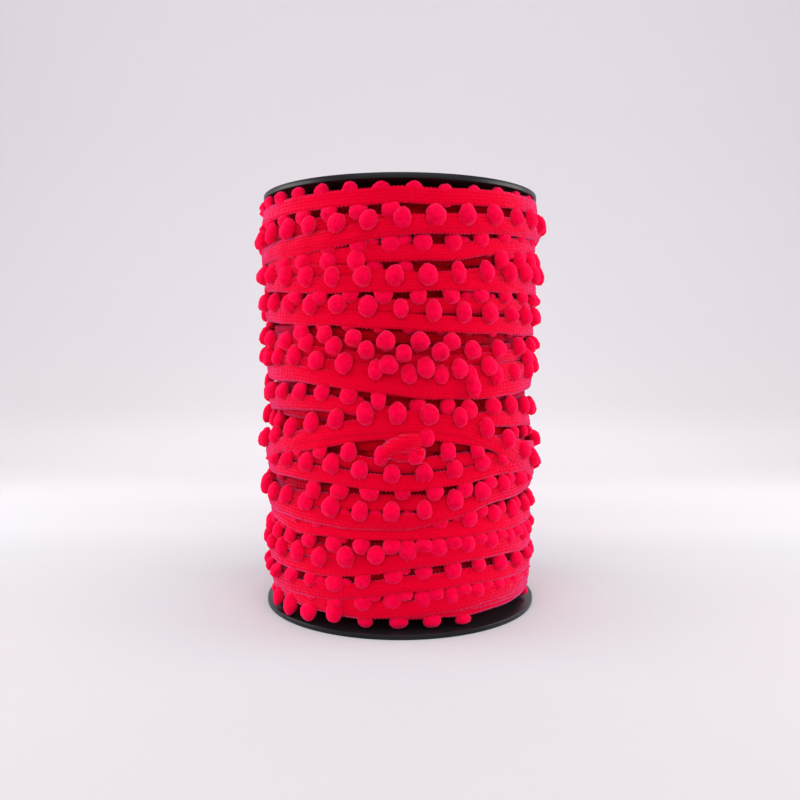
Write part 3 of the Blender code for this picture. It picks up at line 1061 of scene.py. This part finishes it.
def paperFinish():
    s = standSettings
    material, nodes, links, shader = newMaterial("palePaper")
    shader.inputs["Roughness"].default_value = s["roughness"]
    shader.inputs["Specular IOR Level"].default_value = s["specular"]
    place = addNode(nodes, "ShaderNodeTexCoord")
    axes = addNode(nodes, "ShaderNodeSeparateXYZ")
    links.new(place.outputs["Object"], axes.inputs["Vector"])
    # Painted light: paper tone by distance back.
    reach = mapRange(nodes, links, axes.outputs["Y"], (s["rampFrom"], s["rampTo"]))
    ramp = addNode(nodes, "ShaderNodeValToRGB")
    links.new(reach, ramp.inputs["Fac"])
    ramp.color_ramp.interpolation = "EASE"
    while len(ramp.color_ramp.elements) < len(s["paintedLightTones"]):
        ramp.color_ramp.elements.new(0.5)
    for stop, (y, tone) in zip(ramp.color_ramp.elements, s["paintedLightTones"]):
        stop.position = (y - s["rampFrom"]) / (s["rampTo"] - s["rampFrom"])
        stop.color = (*tone, 1.0)
    grain = noiseOn(nodes, links, place, s["grain"], detail=4.0)
    share = calculate(nodes, links, "MULTIPLY", grain, s["fleckShare"])
    color = mixColors(nodes, links, share, ramp.outputs["Color"], s["fleck"])
    # Painted light close to the roll, against its shadow and red bounce.
    away = addNode(nodes, "ShaderNodeVectorMath", operation="LENGTH")
    links.new(place.outputs["Object"], away.inputs[0])
    near = mapRange(nodes, links, away.outputs["Value"], s["paintedLightNearRollReach"], (1.0, 0.0), smooth=True)
    color = mixColors(nodes, links, near, color, s["paintedLightNearRoll"], "MULTIPLY")
    links.new(color, shader.inputs["Base Color"])
    addBump(nodes, links, shader, grain, s["grainBump"])
    return material


def makeStand():
    s = standSettings
    profile = [(s["front"], 0.0)]
    for step in range(s["sweepSteps"] + 1):
        turn = math.pi / 2 * step / s["sweepSteps"]
        y = s["back"] - s["sweepRadius"] * (1 - math.sin(turn))
        profile.append((y, s["sweepRadius"] * (1 - math.cos(turn))))
    profile.append((s["back"], s["wallHeight"]))
    half = s["width"] / 2
    points = [(x / mm, y / mm, z / mm) for y, z in profile for x in (-half, half)]
    faces = [(2 * i, 2 * i + 1, 2 * i + 3, 2 * i + 2) for i in range(len(profile) - 1)]
    stand = pieceFromArrays("paleStand", points, faces)
    stand.data.materials.append(paperFinish())
    print("stand made")


# The body of turns beneath, closed round the hub

coreSettings = {
    "segments": 120, "rings": 124, "low": 1.6, "high": 123.4, "hub": 15.8,
    "under": 0.5,  # how far it lies beneath the turns
    "ridge": 0.25,  # how high its own turns stand, and how far apart
    "ridgeStep": 2.4,
}


def makeCore():
    s = coreSettings
    heights = np.linspace(s["low"], s["high"], s["rings"])
    radii = np.interp(heights, *zip(*trimLay["coreRadius"])) - s["under"]
    radii = radii + s["ridge"] * np.sin(heights * 2 * math.pi / s["ridgeStep"])
    radii = np.concatenate([radii, [s["hub"], s["hub"]]])
    heights = np.concatenate([heights, [s["high"], s["low"]]])
    angle = np.linspace(-math.pi, math.pi, s["segments"], endpoint=False)
    points = onRoll(radii[:, None], angle[None, :], heights[:, None]).reshape(-1, 3)
    row = np.arange(len(radii))[:, None] * s["segments"]
    nextRow = (np.arange(len(radii)) + 1)[:, None] % len(radii) * s["segments"]
    col = np.arange(s["segments"])
    after = (col + 1) % s["segments"]
    faces = np.stack([row + col, row + after, nextRow + after, nextRow + col], -1)
    print("core made")
    return pieceFromArrays("woundCore", points, faces.reshape(-1, 4).tolist())


# All the trim, as pieces of tape and pieces of pompoms.
def makeTrim():
    steps = trimLay["steps"]
    winding = Winding()
    footHeight, footInner, footPompoms = layRun(winding, footTurns, seed=5)
    under = innerTurns()
    height, inner, pompoms = layRun(winding, under + list(lowerTurns) + list(upperTurns), seed=7)
    pompoms = withoutBuried(pompoms, pompomShape["apart"])
    ceilings = ceilingMaps(winding, pressedSwell)
    ball = pompomBall()
    tapes = [makeTape("footTape", footHeight, footInner, 0, steps, stride=1)]
    balls = [
        makePompoms("footPompoms", footPompoms, ceilings, ball, seed=3, hanging=True),
        makePompoms("strayPompoms", strayPompoms(), ceilings, ball, seed=9),
    ]
    start = 0
    # name, turns, and samples from rib to rib
    runs = (("inner", len(under), 2), ("lower", len(lowerTurns), 1), ("upper", len(upperTurns), 1))
    for number, (label, count, stride) in enumerate(runs):
        stop = start + count * steps
        tapes.append(makeTape(label + "Tape", height, inner, start, stop, stride))
        group = [pompom for pompom in pompoms if start <= pompom.at < stop]
        balls.append(makePompoms(label + "Pompoms", group, ceilings, ball, number))
        start = stop
    return tapes, balls


def finishTrim(piece, material):
    beneath = piece.name.startswith(("inner", "wound"))
    piece.data.materials.append(material)
    addDepth(piece)
    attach(piece, "root")
    if beneath:
        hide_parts("wound_roll")
    else:
        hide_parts("outer_turns", "wound_roll")


def main():
    makeCamera()
    makeLights()
    makeStand()
    spool = makeSpool()
    spool.data.materials.append(plasticFinish())
    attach(spool, "root")
    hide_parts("spool")
    tapes, balls = makeTrim()
    knit, fluff = knitFinish(), fluffFinish()
    for tape in tapes + [makeClump()]:
        finishTrim(tape, knit)
    for piece in balls:
        finishTrim(piece, fluff)
    finishTrim(makeCore(), coreFinish())


main()
